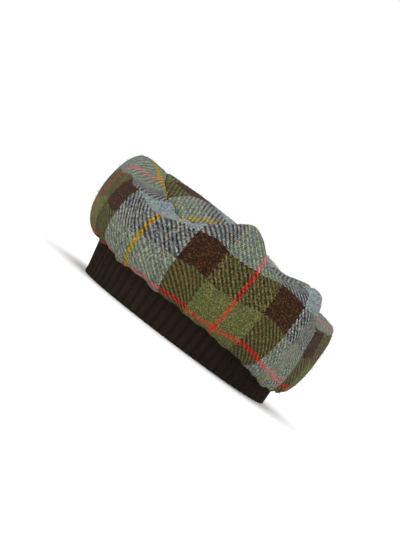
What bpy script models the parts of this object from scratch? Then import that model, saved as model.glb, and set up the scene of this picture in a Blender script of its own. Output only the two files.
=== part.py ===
"""Tweed beret: a soft checked crown gathered onto a ribbed, knitted band.

The hat stands on the lower rim of its band. The front faces -Y, the wearer's left is +X and up is +Z.
A bearing is an angle seen from above, in degrees, from the front towards the wearer's left.
The crown is two pieces of cloth. A straight strip is sewn to the band's upper edge, rolls down over
the band, turns up at the roll and reaches the rim. A disc closes the top.
Sizes are in metres.
"""

import math

import bmesh
import bpy
import numpy as np

# Sizes of the band
BAND_HALF_WIDTH = 0.0800  # outer half width across the ears, at the lower rim
BAND_HALF_DEPTH = 0.1000  # outer half depth from forehead to nape, at the lower rim
BAND_HEIGHT = 0.0480
BAND_WALL = 0.0030
BAND_FLARE = 0.0040  # how much wider the upper edge is, all round
BAND_LEAN = 0.0060  # how far the upper edge is drawn towards the high side of the crown
LEAN_BEARING = -47.0
RIB_COUNT = 72
RIB_DEPTH = 0.0009

# Sizes of the crown
CLOTH_WALL = 0.0022
OVERHANG = 0.0300  # usual reach of the crown beyond the band's lower rim
CROWN_HEIGHT = 0.1040  # height of the middle of the top
ROLL_HEIGHT = 0.0240  # usual height of the roll's lower edge
TUCK_SPACE = 0.0030  # air between the band and the cloth tucked down beside it
STRIP_WIDTH = 0.1320  # usual width of the side strip, from the band seam to the top seam
TOP_SETBACK = 0.0220  # usual distance of the top seam from the rim, along the cloth
STRIP_SHAPING = 0.6  # how far the strip's upper edge follows the rim, from 0 for a straight edge to 1
GATHER_COUNT = 19
GATHER_DEPTH = 0.0016
ROLL_WAVE = 0.6  # how far the roll's edge rises and falls with the gathers, as a share of GATHER_DEPTH
TUCK_WAVE = 0.5  # how far the tucked cloth swings out at a gather, as a share of GATHER_DEPTH
PUCKER_COUNT = 26
PUCKER_DEPTH = 0.0008
PUCKER_REACH = 0.0120  # how far from the top seam the puckers run
SEAM_GAP = 0.0004
SEAM_STRIP = 0.0010  # width of the flat cloth beside the top seam

# How finely the pieces are divided. The rows of a table of sections are PROFILE_STEPS steps apart.
CROWN_COLUMNS = 76
SIDE_DIVISIONS = 10
TOP_DIVISIONS = 6
COLUMNS_PER_RIB = 4
PROFILE_STEPS = 16

# Heights of the band's rows, as shares of BAND_HEIGHT. Its wall is upright beside both rims.
BAND_ROWS = (0.0, 0.1, 0.9, 1.0)

# Height of each of the four stitch columns of a rib, as a share of RIB_DEPTH: two stand out, two sink.
RIB_SHAPE = (0.0, 0.0, -1.0, -1.0)

# The crown round the hat. reach is a share of OVERHANG, crest and swell are shares of CROWN_HEIGHT,
# and roll is a share of ROLL_HEIGHT. crest is the height of the rim. swell is the height half way in.
ROUND_COLUMNS = ("bearing", "reach", "crest", "swell", "roll")
ROUND_ROWS = (
    (-165, 0.87, 0.86, 0.93, 0.92),
    (-130, 1.07, 0.86, 0.94, 1.17),
    (-90, 1.20, 0.89, 0.96, 1.20),
    (-60, 1.31, 0.95, 0.98, 1.12),
    (-44, 1.04, 0.97, 1.00, 1.15),
    (-20, 0.90, 0.84, 0.99, 1.25),
    (-8, 0.87, 0.79, 0.98, 1.17),
    (5, 0.87, 0.72, 0.96, 1.08),
    (16, 0.87, 0.76, 0.95, 1.04),
    (31, 0.90, 0.92, 0.97, 1.04),
    (38, 0.95, 1.02, 0.99, 1.02),
    (44, 1.00, 1.07, 1.00, 1.00),
    (50, 0.99, 1.03, 0.98, 0.98),
    (57, 0.97, 0.94, 0.95, 0.96),
    (67, 0.97, 0.89, 0.92, 0.92),
    (79, 1.13, 0.92, 0.94, 0.88),
    (88, 1.15, 0.98, 0.94, 0.83),
    (94, 0.92, 0.94, 0.92, 0.75),
    (102, 0.64, 0.86, 0.89, 0.67),
    (118, 0.40, 0.76, 0.86, 0.62),
    (136, 0.33, 0.76, 0.85, 0.67),
    (160, 0.60, 0.83, 0.88, 0.79),
)

# The tucked cloth between the band seam and the roll. out is a share of TUCK_SPACE, beyond the band,
# and fall is a share of the way down to the roll's lower edge.
TUCK_COLUMNS = ("out", "fall")
TUCK_ROWS = (
    (-0.75, 0.00),
    (0.20, -0.01),
    (0.90, 0.10),
    (1.00, 0.50),
    (1.25, 0.88),
)

# The side from the roll's lower edge to the rim. out is a share of the reach at that bearing,
# and rise is a share of the way up.
SIDE_COLUMNS = ("out", "rise")
SIDE_ROWS = (
    (0.38, 0.00),
    (0.64, 0.05),
    (0.88, 0.20),
    (0.99, 0.40),
    (1.00, 0.60),
    (0.95, 0.80),
    (0.82, 0.94),
    (0.62, 1.00),
)

# The top from the rim to the middle. inward is a share of the way in. The height goes from the crest
# to the swell as swell goes from 0 to 1, and from there to the middle as middle goes from 0 to 1.
TOP_COLUMNS = ("inward", "swell", "middle")
TOP_ROWS = (
    (0.14, 0.10, 0.00),
    (0.30, 0.55, 0.00),
    (0.48, 1.00, 0.00),
    (0.74, 1.00, 0.60),
    (1.00, 1.00, 1.00),
)

# Slow waves that make the gathers uneven: waves round the hat, size and phase in radians. The drift
# moves the gathers along, in radians of a gather, and the swell changes their depth, as a share of it.
WAVE_COLUMNS = ("waves", "size", "phase")
DRIFT_ROWS = (
    (2, 0.80, 0.60),
    (5, 0.50, 2.00),
)
SWELL_ROWS = ((3, 0.25, 1.10),)

COLOURS = {
    "checked_tweed": (0.115, 0.105, 0.048),
    "brown_rib_knit": (0.020, 0.013, 0.008),
}
ROUGHNESS = {"checked_tweed": 0.95, "brown_rib_knit": 0.90}


def named_rows(columns, rows):
    """The rows of a table, each as a dictionary of its columns."""
    return [dict(zip(columns, row)) for row in rows]


def smooth_path(points, steps):
    """A Catmull-Rom curve through the points, with this many steps between neighbours."""
    points = np.asarray(points, float)
    before = np.vstack([2 * points[:1] - points[1:2], points[:-1]])
    after = np.vstack([points[1:], 2 * points[-1:] - points[-2:-1]])
    slopes = (after - before) / 2
    path = []
    for i in range(len(points) - 1):
        for s in np.linspace(0.0, 1.0, steps, endpoint=False):
            keep = (1 + 2 * s) * (1 - s) ** 2
            take = s * s * (3 - 2 * s)
            leave = s * (1 - s) ** 2
            arrive = s * s * (s - 1)
            point = keep * points[i] + take * points[i + 1]
            path.append(point + leave * slopes[i] + arrive * slopes[i + 1])
    path.append(points[-1])
    return np.array(path)


def round_values(bearing):
    """The row of the round table at a bearing, read from a smooth closed curve through its rows."""
    rows = np.array(ROUND_ROWS, float)
    turn = np.array([360.0] + [0.0] * (rows.shape[1] - 1))
    ring = np.vstack([rows[-2:] - turn, rows, rows[:2] + turn])
    at = (bearing - rows[0, 0]) % 360.0 + rows[0, 0]
    i = int(np.searchsorted(ring[:, 0], at, side="right")) - 1
    start, end = ring[i, 0], ring[i + 1, 0]
    s = (at - start) / (end - start)
    slope_a = (ring[i + 1] - ring[i - 1]) / (end - ring[i - 1, 0]) * (end - start)
    slope_b = (ring[i + 2] - ring[i]) / (ring[i + 2, 0] - start) * (end - start)
    value = (1 + 2 * s) * (1 - s) ** 2 * ring[i] + s * s * (3 - 2 * s) * ring[i + 1]
    value = value + s * (1 - s) ** 2 * slope_a + s * s * (s - 1) * slope_b
    return dict(zip(ROUND_COLUMNS, value))


def band_radius(bearing):
    """Distance from the axis to the band's outer face at its lower rim."""
    angle = math.radians(bearing)
    across = math.sin(angle) / BAND_HALF_WIDTH
    along = math.cos(angle) / BAND_HALF_DEPTH
    return 1.0 / math.hypot(across, along)


def band_spread(bearing, height):
    """How much further out the band's face is at a height than at its lower rim."""
    low, high = BAND_ROWS[1], BAND_ROWS[-2]
    share = min(max((height / BAND_HEIGHT - low) / (high - low), 0.0), 1.0)
    lean = BAND_LEAN * math.cos(math.radians(bearing - LEAN_BEARING))
    return share * (BAND_FLARE + lean)


def slow_wave(angle, rows):
    """The sum of a table's waves at an angle round the hat."""
    waves = named_rows(WAVE_COLUMNS, rows)
    return sum(wave["size"] * math.sin(wave["waves"] * angle + wave["phase"]) for wave in waves)


def gathers(bearing, count):
    """Uneven waves round the hat, from -1 to 1, as cloth makes where it is drawn together."""
    angle = math.radians(bearing)
    deepest = sum(wave["size"] for wave in named_rows(WAVE_COLUMNS, SWELL_ROWS))
    size = 1 - deepest + slow_wave(angle, SWELL_ROWS)
    return size * math.cos(count * angle + slow_wave(angle, DRIFT_ROWS))


def section(bearing):
    """Points (distance from the axis, height) down the tuck, up the side and in over the top."""
    row = round_values(bearing)
    base = band_radius(bearing)
    reach = OVERHANG * row["reach"]
    seam = BAND_HEIGHT + SEAM_GAP
    low = ROLL_HEIGHT * row["roll"]
    crest = CROWN_HEIGHT * row["crest"]
    swell = CROWN_HEIGHT * row["swell"]
    wave = GATHER_DEPTH * gathers(bearing, GATHER_COUNT)
    low += ROLL_WAVE * wave
    points = []
    for bend in named_rows(TUCK_COLUMNS, TUCK_ROWS):
        height = seam + bend["fall"] * (low - seam)
        swing = TUCK_WAVE * abs(wave) * max(bend["fall"], 0.0)
        face = base + band_spread(bearing, height)
        points.append((face + TUCK_SPACE * bend["out"] + swing, height))
    for bend in named_rows(SIDE_COLUMNS, SIDE_ROWS):
        ripple = wave * (1 - bend["rise"]) ** 2
        points.append((base + reach * bend["out"] + ripple, low + bend["rise"] * (crest - low)))
    rim = points[-1][0]
    for bend in named_rows(TOP_COLUMNS, TOP_ROWS):
        height = crest + bend["swell"] * (swell - crest)
        height += bend["middle"] * (CROWN_HEIGHT - swell)
        points.append((rim * (1 - bend["inward"]), height))
    return smooth_path(points, PROFILE_STEPS)


def measured_section(bearing):
    """The section with the length of cloth from the band seam to each of its points."""
    path = section(bearing)
    steps = np.hypot(*np.diff(path, axis=0).T)
    return path, np.concatenate([[0.0], np.cumsum(steps)])


def strip_width(lengths):
    """The strip's width at one bearing, from the lengths of cloth along its section."""
    rim = lengths[(len(TUCK_ROWS) + len(SIDE_ROWS) - 1) * PROFILE_STEPS]
    return STRIP_WIDTH + STRIP_SHAPING * (rim + TOP_SETBACK - STRIP_WIDTH)


def crown_point(bearing, length, path, lengths):
    """The place on the crown's outer surface this far along the cloth from the band seam."""
    radius = float(np.interp(length, lengths, path[:, 0]))
    height = float(np.interp(length, lengths, path[:, 1]))
    near_seam = math.exp(-(((length - strip_width(lengths)) / PUCKER_REACH) ** 2))
    height += PUCKER_DEPTH * near_seam * gathers(bearing, PUCKER_COUNT)
    angle = math.radians(bearing)
    return (radius * math.sin(angle), -radius * math.cos(angle), height)


def strip_lengths(lengths):
    """Where the strip's rows lie along the cloth: at each bend of the tuck, then even up the side."""
    bends = lengths[: len(TUCK_ROWS) * PROFILE_STEPS : PROFILE_STEPS]
    bottom = lengths[len(TUCK_ROWS) * PROFILE_STEPS]
    edge = strip_width(lengths)
    side = np.linspace(bottom, edge - SEAM_STRIP, SIDE_DIVISIONS)
    return [*bends, *side, edge - SEAM_GAP / 2]


def top_lengths(lengths):
    """Where the top's rows lie: close beside the seam, then even in to the middle."""
    edge = strip_width(lengths)
    inner = np.linspace(edge + SEAM_STRIP, lengths[-1], TOP_DIVISIONS)
    return [edge + SEAM_GAP / 2, *inner]


def rolled_grid(columns, rows):
    """A flat grid of cloth, one unit long and wide, whose two ends will be sewn together."""
    sheet = bmesh.new()
    bmesh.ops.create_grid(sheet, x_segments=columns, y_segments=rows, size=0.5)
    return sheet


def crown_piece(name, row_lengths):
    """A piece of the crown: a flat grid wrapped round the hat and sewn up at the back."""
    rows = len(row_lengths(measured_section(0.0)[1]))
    sheet = rolled_grid(CROWN_COLUMNS, rows - 1)
    sections = {}
    for vertex in sheet.verts:
        column = round((vertex.co.x + 0.5) * CROWN_COLUMNS)
        row = round((vertex.co.y + 0.5) * (rows - 1))
        bearing = 360.0 * (column % CROWN_COLUMNS) / CROWN_COLUMNS - 180.0
        if column not in sections:
            sections[column] = measured_section(bearing)
        path, lengths = sections[column]
        vertex.co = crown_point(bearing, row_lengths(lengths)[row], path, lengths)
    return shell(name, sheet, CLOTH_WALL, "checked_tweed")


def band_piece():
    """The knitted band: ribs all round, drawn in at the lower rim."""
    columns = RIB_COUNT * COLUMNS_PER_RIB
    rows = len(BAND_ROWS)
    sheet = rolled_grid(columns, rows - 1)
    for vertex in sheet.verts:
        column = round((vertex.co.x + 0.5) * columns) % columns
        row = round((vertex.co.y + 0.5) * (rows - 1))
        height = BAND_ROWS[row] * BAND_HEIGHT
        turn = 2 * math.pi * column / columns - math.pi
        x, y = BAND_HALF_WIDTH * math.sin(turn), -BAND_HALF_DEPTH * math.cos(turn)
        bearing = math.degrees(math.atan2(x, -y))
        base = math.hypot(x, y)
        rib = RIB_DEPTH * RIB_SHAPE[column % COLUMNS_PER_RIB]
        out = 1.0 + (rib + band_spread(bearing, height)) / base
        vertex.co = (x * out, y * out, height)
    return shell("knit_band", sheet, BAND_WALL, "brown_rib_knit")


def material(name):
    """A plain finish in the piece's main colour."""
    finish = bpy.data.materials.new(name)
    finish.use_nodes = True
    shader = finish.node_tree.nodes["Principled BSDF"]
    shader.inputs["Base Color"].default_value = (*COLOURS[name], 1.0)
    shader.inputs["Roughness"].default_value = ROUGHNESS[name]
    shader.inputs["Metallic"].default_value = 0.0
    return finish


def shell(name, sheet, wall, slot):
    """Sews the sheet's ends together and gives it a wall on its inner side."""
    bmesh.ops.remove_doubles(sheet, verts=sheet.verts, dist=1e-6)
    mesh = bpy.data.meshes.new(name)
    sheet.to_mesh(mesh)
    sheet.free()
    mesh.shade_smooth()
    mesh.materials.append(bpy.data.materials.get(slot) or material(slot))
    piece = bpy.data.objects.new(name, mesh)
    thickness = piece.modifiers.new("cloth wall", "SOLIDIFY")
    thickness.thickness = wall
    thickness.offset = -1.0
    thickness.use_even_offset = False
    return piece


def clear_scene():
    for thing in list(bpy.data.objects):
        bpy.data.objects.remove(thing, do_unlink=True)


def stand_at_origin(pieces, collection):
    """Puts the pieces under one empty, with the hat's box centred over the origin."""
    corners = [vertex.co for piece in pieces for vertex in piece.data.vertices]
    middle_x = (min(c.x for c in corners) + max(c.x for c in corners)) / 2
    middle_y = (min(c.y for c in corners) + max(c.y for c in corners)) / 2
    centre = bpy.data.objects.new("hat_centre", None)
    collection.objects.link(centre)
    centre.location = (-middle_x, -middle_y, 0.0)
    for piece in pieces:
        collection.objects.link(piece)
        piece.parent = centre


def main():
    clear_scene()
    collection = bpy.data.collections.new("tweed_beret")
    bpy.context.scene.collection.children.link(collection)
    side = crown_piece("crown_side", strip_lengths)
    top = crown_piece("crown_top", top_lengths)
    stand_at_origin([band_piece(), side, top], collection)


main()
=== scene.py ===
"""Tweed beret: woven cloth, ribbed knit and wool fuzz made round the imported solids.

Lengths are in metres. A bearing is an angle seen from above, in degrees, from the front (-Y)
towards the wearer's left (+X). Each sheet carries a UV map called cloth, in metres of flat cloth,
that its weave follows.
"""

import math

import bmesh
import bpy
import numpy as np
from mathutils import Matrix, Vector, noise


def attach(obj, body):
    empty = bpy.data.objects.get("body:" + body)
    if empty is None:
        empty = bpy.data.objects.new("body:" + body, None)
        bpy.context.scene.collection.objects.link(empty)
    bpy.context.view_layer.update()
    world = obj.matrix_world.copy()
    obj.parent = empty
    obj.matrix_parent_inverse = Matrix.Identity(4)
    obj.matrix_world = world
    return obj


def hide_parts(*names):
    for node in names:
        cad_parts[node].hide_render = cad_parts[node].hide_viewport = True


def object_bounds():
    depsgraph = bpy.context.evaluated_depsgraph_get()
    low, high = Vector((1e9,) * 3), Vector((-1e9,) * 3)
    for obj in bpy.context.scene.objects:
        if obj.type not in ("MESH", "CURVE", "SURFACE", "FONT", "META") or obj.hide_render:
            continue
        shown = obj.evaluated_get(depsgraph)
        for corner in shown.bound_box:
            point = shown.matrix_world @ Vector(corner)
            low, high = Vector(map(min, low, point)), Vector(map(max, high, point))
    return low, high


bl_info = {
    "name": "Tweed Beret",
    "version": (1, 0, 0),
    "blender": (4, 5, 0),
    "location": "3D View > Sidebar > Beret",
    "description": "Makes a checked tweed beret with a ribbed knit band",
    "category": "Add Mesh",
}

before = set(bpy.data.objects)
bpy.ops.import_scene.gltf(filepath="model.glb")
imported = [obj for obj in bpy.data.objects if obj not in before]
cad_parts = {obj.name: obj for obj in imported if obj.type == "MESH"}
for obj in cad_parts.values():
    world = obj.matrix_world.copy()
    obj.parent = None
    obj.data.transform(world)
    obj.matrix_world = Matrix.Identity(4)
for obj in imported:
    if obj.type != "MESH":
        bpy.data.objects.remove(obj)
CAD_BOX = [list(corner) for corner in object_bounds()]

# The photograph, in pixels
PICTURE_WIDTH = 400
PICTURE_HEIGHT = 533
HAT_PIXEL = (214.0, 283.0)  # middle of the hat in the picture

# Sizes of the band and of the crown, as the solids have them
BAND_HALF_WIDTH = 0.0800
BAND_HALF_DEPTH = 0.1000
BAND_HEIGHT = 0.0480
BAND_WALL = 0.0030
BAND_FLARE = 0.0040
BAND_LEAN = 0.0060
LEAN_BEARING = -47.0
UPRIGHT_SHARES = (0.1, 0.9)  # shares of its height below and above which the band is upright
RIB_COUNT = 72
RIB_DEPTH = 0.0009
CLOTH_WALL = 0.0022
OVERHANG = 0.0300
CROWN_HEIGHT = 0.1040
ROLL_HEIGHT = 0.0240
TUCK_SPACE = 0.0030
STRIP_WIDTH = 0.1320
TOP_SETBACK = 0.0220
STRIP_SHAPING = 0.6
GATHER_COUNT = 19
GATHER_DEPTH = 0.0016
ROLL_WAVE = 0.6
TUCK_WAVE = 0.5
PUCKER_COUNT = 26
PUCKER_DEPTH = 0.0008
PUCKER_REACH = 0.0120
SEAM_GAP = 0.0004

# The crown round the hat, as shares of OVERHANG, CROWN_HEIGHT, CROWN_HEIGHT and ROLL_HEIGHT
ROUND_COLUMNS = ("bearing", "reach", "crest", "swell", "roll")
ROUND_ROWS = (
    (-165, 0.87, 0.86, 0.93, 0.92),
    (-130, 1.07, 0.86, 0.94, 1.17),
    (-90, 1.20, 0.89, 0.96, 1.20),
    (-60, 1.31, 0.95, 0.98, 1.12),
    (-44, 1.04, 0.97, 1.00, 1.15),
    (-20, 0.90, 0.84, 0.99, 1.25),
    (-8, 0.87, 0.79, 0.98, 1.17),
    (5, 0.87, 0.72, 0.96, 1.08),
    (16, 0.87, 0.76, 0.95, 1.04),
    (31, 0.90, 0.92, 0.97, 1.04),
    (38, 0.95, 1.02, 0.99, 1.02),
    (44, 1.00, 1.07, 1.00, 1.00),
    (50, 0.99, 1.03, 0.98, 0.98),
    (57, 0.97, 0.94, 0.95, 0.96),
    (67, 0.97, 0.89, 0.92, 0.92),
    (79, 1.13, 0.92, 0.94, 0.88),
    (88, 1.15, 0.98, 0.94, 0.83),
    (94, 0.92, 0.94, 0.92, 0.75),
    (102, 0.64, 0.86, 0.89, 0.67),
    (118, 0.40, 0.76, 0.86, 0.62),
    (136, 0.33, 0.76, 0.85, 0.67),
    (160, 0.60, 0.83, 0.88, 0.79),
)

# The section of the crown: the tuck beside the band, the side up to the rim, and the top
TUCK_COLUMNS = ("out", "fall")
TUCK_ROWS = ((-0.75, 0.00), (0.20, -0.01), (0.90, 0.10), (1.00, 0.50), (1.25, 0.88))
SIDE_COLUMNS = ("out", "rise")
SIDE_ROWS = (
    (0.38, 0.00),
    (0.64, 0.05),
    (0.88, 0.20),
    (0.99, 0.40),
    (1.00, 0.60),
    (0.95, 0.80),
    (0.82, 0.94),
    (0.62, 1.00),
)
TOP_COLUMNS = ("inward", "swell", "middle")
TOP_ROWS = (
    (0.14, 0.10, 0.00),
    (0.30, 0.55, 0.00),
    (0.48, 1.00, 0.00),
    (0.74, 1.00, 0.60),
    (1.00, 1.00, 1.00),
)
PROFILE_STEPS = 16  # steps between two neighbouring rows of a table that is read as a curve

# Slow waves that make the gathers uneven
WAVE_COLUMNS = ("waves", "size", "phase")
DRIFT_ROWS = ((2, 0.80, 0.60), (5, 0.50, 2.00))
SWELL_ROWS = ((3, 0.25, 1.10),)

# Fine relief of the cloth: waves round the hat, depth, and the place and spread along the cloth
FINE_GATHERS = {"count": 43, "depth": 0.0007, "place": 0.030, "spread": 0.016}
FINE_PUCKERS = {"count": 61, "depth": 0.0006, "spread": 0.006}
SEAM_DIP = {"depth": 0.0013, "spread": 0.0020}
DENTS_START = 0.045  # the cloth is even this near to the band seam
DENTS_COLUMNS = ("per_metre", "depth")
DENTS_ROWS = ((9.0, 0.0045), (22.0, 0.0018), (55.0, 0.0006))

CHECK_SHIFT_COLUMNS = ("bearing", "back", "up")
CHECK_SHIFT_ROWS = (
    (-180, 0.0000, 0.0000),
    (-100, -0.0050, -0.0060),
    (-67, -0.0070, -0.0110),
    (-27, -0.0075, -0.0120),
    (-9, 0.0020, -0.0115),
    (11, 0.0005, -0.0080),
    (33, -0.0022, -0.0016),
    (55, -0.0020, 0.0033),
    (74, 0.0050, 0.0150),
    (105, 0.0020, 0.0130),
    (150, 0.0000, 0.0020),
    (180, 0.0000, 0.0000),
)

# How finely the cloth and the knit are divided
CLOTH_COLUMNS = 400
SIDE_LINES = 104
TOP_LINES = 40
TOP_CLOSENESS = 1.25  # above 1, the top's lines stand closer together beside its seam
KNIT_POINTS = 3  # points across a stitch column
KNIT_GROOVE = 1.7 * RIB_DEPTH  # depth of the knit's grooves
STITCHES_PER_RIB = 4

# Shape of the knit. Distances from a rib's middle are counted in stitch columns.
RIB_MIDDLE = 0.5  # middle of a rib's raised columns, from the rib's first column
RIB_FLAT = 0.60  # a rib stands out fully this near to its middle
RIB_FOOT = 1.40  # and reaches the groove's bottom this far from it
COLUMN_DIP = 0.00028  # depth of the dip between two stitch columns on a rib
GROOVE_DIP = 0.4  # the same dip in a groove, as a share of COLUMN_DIP
EDGE_HEIGHT = 0.0016  # the band's lower edge is rounded up to this height
EDGE_ROUNDING = 0.0009
EDGE_ROWS = (0.0, 0.0003, 0.0008)
KNIT_ROWS = 24
GROOVE_LIFT = 0.0005  # how far the lower edge is drawn up in a groove
GROOVE_LIFT_HEIGHT = 0.0040
STITCH_MARGIN = 0.0010  # bare height above and below the stitches
FIBRE_REST = 0.0001  # lowest place of a loose fibre that lies on the floor

# Tones of the band's wool, as shares of its own colour: lighter and darker fibres, worn patches,
# and the painted shade of the grooves and of the lines between stitches
KNIT_SHADES = {
    "lighter": (2.10, 1.75, 1.50),
    "darker": (0.45, 0.45, 0.50),
    "worn": (1.25, 1.20, 1.15),
    "painted_groove_shade": (0.30, 0.31, 0.35),
}

# The check, as yarns and their threads in order. The same order runs along and across the cloth.
SETT = (
    ("green", 24),
    ("red", 4),
    ("green", 24),
    ("brown", 24),
    ("blue", 28),
    ("yellow", 4),
    ("blue", 28),
    ("brown", 24),
)
SETT_THREADS = sum(threads for _, threads in SETT)
RED_MIDDLE = 26  # threads before the middle of the red line, and of the yellow one
YELLOW_MIDDLE = 106
CHECKS_ROUND = 4  # repeats of the check round the hat
TOP_COLUMN = 90.0
TOP_ROW = 108.0

# The lamps: direction from the hat in degrees, distance and size in metres, power in watts
LAMP_COLUMNS = ("name", "azimuth", "elevation", "distance", "size", "power")
LAMP_ROWS = (
    ("key_light", 20.0, 48.0, 1.5, 1.1, 8.0),
    ("fill_light", 100.0, 25.0, 1.8, 1.4, 2.0),
    ("top_light", -140.0, 70.0, 1.6, 1.5, 3.0),
)

# Flecks of other wool spun into each yarn, light and dark, as linear colours
FLECKS = {
    "green": ((0.200, 0.165, 0.060), (0.022, 0.050, 0.016)),
    "red": ((0.560, 0.060, 0.030), (0.260, 0.012, 0.010)),
    "brown": ((0.100, 0.037, 0.011), (0.008, 0.005, 0.006)),
    "blue": ((0.380, 0.380, 0.290), (0.045, 0.080, 0.155)),
    "yellow": ((0.520, 0.340, 0.040), (0.200, 0.130, 0.020)),
}

YARN_COLOURS = ("Yarn", "Light Fleck", "Dark Fleck")

# What makes a fleck, where light and dark ones start and are full, and how much finer than the
# flecks the dye varies
HEATHER = {
    "detail": 3.0,
    "roughness": 0.65,
    "grain": 1.35,
    "chance": 0.30,
    "light": (0.86, 1.02),
    "dark": (0.78, 0.62),
    "finer": 1.5,
}

# The twill: threads in its repeat, scale and reach of their waver, how far chance changes the yarn
# that shows, and how deep and how sharply a thread goes under
TWILL = {
    "repeat": 4.0,
    "waver_scale": 260.0,
    "waver_reach": 2.0,
    "chance": 0.4,
    "drop": 0.55,
    "sharpness": 3.0,
}

# The knit's wool: its grain and patches, the pairs of values where each tone starts and is full,
# and how much painted shade darkens the grooves and the lines between stitches
KNIT_WOOL = {
    "grain_scale": 900.0,
    "grain_detail": 4.0,
    "patch_scale": 60.0,
    "lighter": (0.56, 0.70),
    "darker": (0.46, 0.34),
    "worn": (0.45, 0.75),
    "groove": (0.30, 0.12),
    "line": (0.28, 0.04),
    "groove_share": 0.60,
    "line_share": 0.55,
}
STRAY_WOOL = {"scale": 200.0, "dull": 0.5, "shades": (0.4, 0.6)}

# Strength and distance of each bump, and the constant values of each finish
TWEED_BUMP = (0.55, 0.0005)
KNIT_BUMP = (0.4, 0.0003)
TWEED_FINISH = {
    "Roughness": 0.95,
    "Specular IOR Level": 0.08,
    "Sheen Weight": 0.03,
    "Sheen Roughness": 0.5,
}
KNIT_FINISH = {
    "Roughness": 0.92,
    "Specular IOR Level": 0.12,
    "Sheen Weight": 0.02,
    "Sheen Roughness": 0.45,
}
STRAY_FINISH = {"Roughness": 0.9, "Specular IOR Level": 0.1}
FLOOR_FINISH = {"Base Color": (0.96, 0.96, 0.96, 1.0), "Roughness": 0.9}

# Each kind of stitch: how its squares are chosen, how far it stands out as a share of the purl
# depth, its legs' places aside and lean, and a leg's size as shares of the tree's inputs
STITCH_KINDS = {
    "knit_stitches": {
        "chosen": "LESS_THAN",
        "out": 0.0,
        "legs": ((-0.23, 1.0), (0.23, -1.0)),
        "size": {"X": ("Yarn Width", 1.0), "Y": ("Stitch Height", 1.45), "Z": ("Yarn Width", 0.9)},
    },
    "purl_stitches": {
        "chosen": "GREATER_THAN",
        "out": -1.0,
        "legs": ((0.0, 0.0),),
        "size": {"X": ("Stitch Width", 1.05), "Y": ("Yarn Width", 1.1), "Z": ("Yarn Width", 0.7)},
    },
}
BEAD = {"Segments": 5, "Rings": 3, "Radius": 0.5}

# A loose fibre: the bend of one that is 1 long, its farthest turn about each axis, its least and
# greatest size, and the seeds of the random draws
FIBRE_BEND = {
    "Resolution": 2,
    "Start": (0.0, 0.0, -0.1),
    "Middle": (0.1, 0.0, 0.5),
    "End": (0.75, 0.0, 0.75),
}
FIBRE_SIDES = 3
FIBRE_TURN = (1.25, 1.25, 3.14)
FIBRE_SIZES = (0.4, 1.3)
SIZE_SEED = 11
SEEDS = {"side_fuzz": 3, "top_fuzz": 5, "stray_fibres": 8}

FLOOR_REACH = 6.0
SENSOR_HEIGHT = 24.0  # of the camera, in millimetres
RIM_LAYER = 0.0003  # the band's lower rim is what lies this near to its lowest point
WELD_DISTANCE = 1e-6  # places nearer to each other than this become one
NO_LENGTH = 1e-12  # a vector no longer than this has no direction
SOCKET_OF_NUMBER = {float: "Float", int: "Int"}


def length_setting(name, default, description):
    """A length that a user can set."""
    return bpy.props.FloatProperty(
        name=name, description=description, default=default, precision=5, unit="LENGTH"
    )


def angle_setting(name, degrees, description):
    """An angle that a user can set."""
    return bpy.props.FloatProperty(
        name=name, description=description, default=math.radians(degrees), subtype="ANGLE"
    )


def number_setting(name, default, description):
    """A plain number that a user can set."""
    return bpy.props.FloatProperty(name=name, description=description, default=default)


def colour_setting(name, default, description):
    """A linear colour that a user can set."""
    return bpy.props.FloatVectorProperty(
        name=name, description=description, default=default, subtype="COLOR", min=0.0, max=1.0
    )


class BeretCloth(bpy.types.PropertyGroup):
    """The tweed's yarns and weave."""

    thread_pitch: length_setting("Thread Pitch", 0.00116, "Distance from one thread to the next")
    red_row: length_setting(
        "Red Row", 0.0400, "Distance of the red line from the band seam, before the check is moved"
    )
    yellow_bearing: angle_setting(
        "Yellow Bearing", 11.0, "Bearing of the first yellow line up the crown"
    )
    green: colour_setting("Green", (0.088, 0.094, 0.030), "Moss green yarn")
    brown: colour_setting("Brown", (0.024, 0.011, 0.0055), "Dark brown yarn")
    blue: colour_setting("Blue", (0.160, 0.198, 0.204), "Grey-blue yarn")
    red: colour_setting("Red", (0.480, 0.022, 0.014), "Scarlet yarn of the thin lines")
    yellow: colour_setting("Yellow", (0.440, 0.260, 0.014), "Ochre yarn of the thin lines")
    fuzz_density: number_setting(
        "Fuzz Density", 95000.0, "Loose fibres on each square metre of cloth"
    )
    fuzz_length: length_setting("Fuzz Length", 0.0017, "Length of a loose fibre")


class BeretKnit(bpy.types.PropertyGroup):
    """The knitted band's yarn and stitches."""

    colour: colour_setting("Knit Colour", (0.0300, 0.0205, 0.0125), "Dark brown wool of the band")
    stitch_height: length_setting("Stitch Height", 0.0015, "Height of one row of stitches")
    yarn_width: length_setting("Yarn Width", 0.00085, "Width of one leg of a stitch")
    stray_density: number_setting(
        "Stray Density", 1800.0, "Pale stray fibres on each square metre of the band"
    )
    stray_length: length_setting("Stray Length", 0.0045, "Length of a stray fibre")
    stray_colour: colour_setting(
        "Stray Colour", (0.170, 0.150, 0.120), "Grey-brown wool of the stray fibres"
    )


class BeretStudio(bpy.types.PropertyGroup):
    """The camera and the light."""

    azimuth: angle_setting(
        "Azimuth", 46.0, "Direction that the picture is taken from, round the hat from its front"
    )
    elevation: angle_setting("Elevation", 0.8, "Height of the camera above the floor, as an angle")
    roll: angle_setting("Roll", 37.7, "How far the hat leans to the right in the picture")
    distance: length_setting("Distance", 1.6, "Distance from the camera to the hat")
    pixels_per_metre: number_setting(
        "Pixels Per Metre", 1220.0, "Scale of the picture at the hat"
    )
    daylight: number_setting("Daylight", 1.05, "Strength of the white surroundings")


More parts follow.
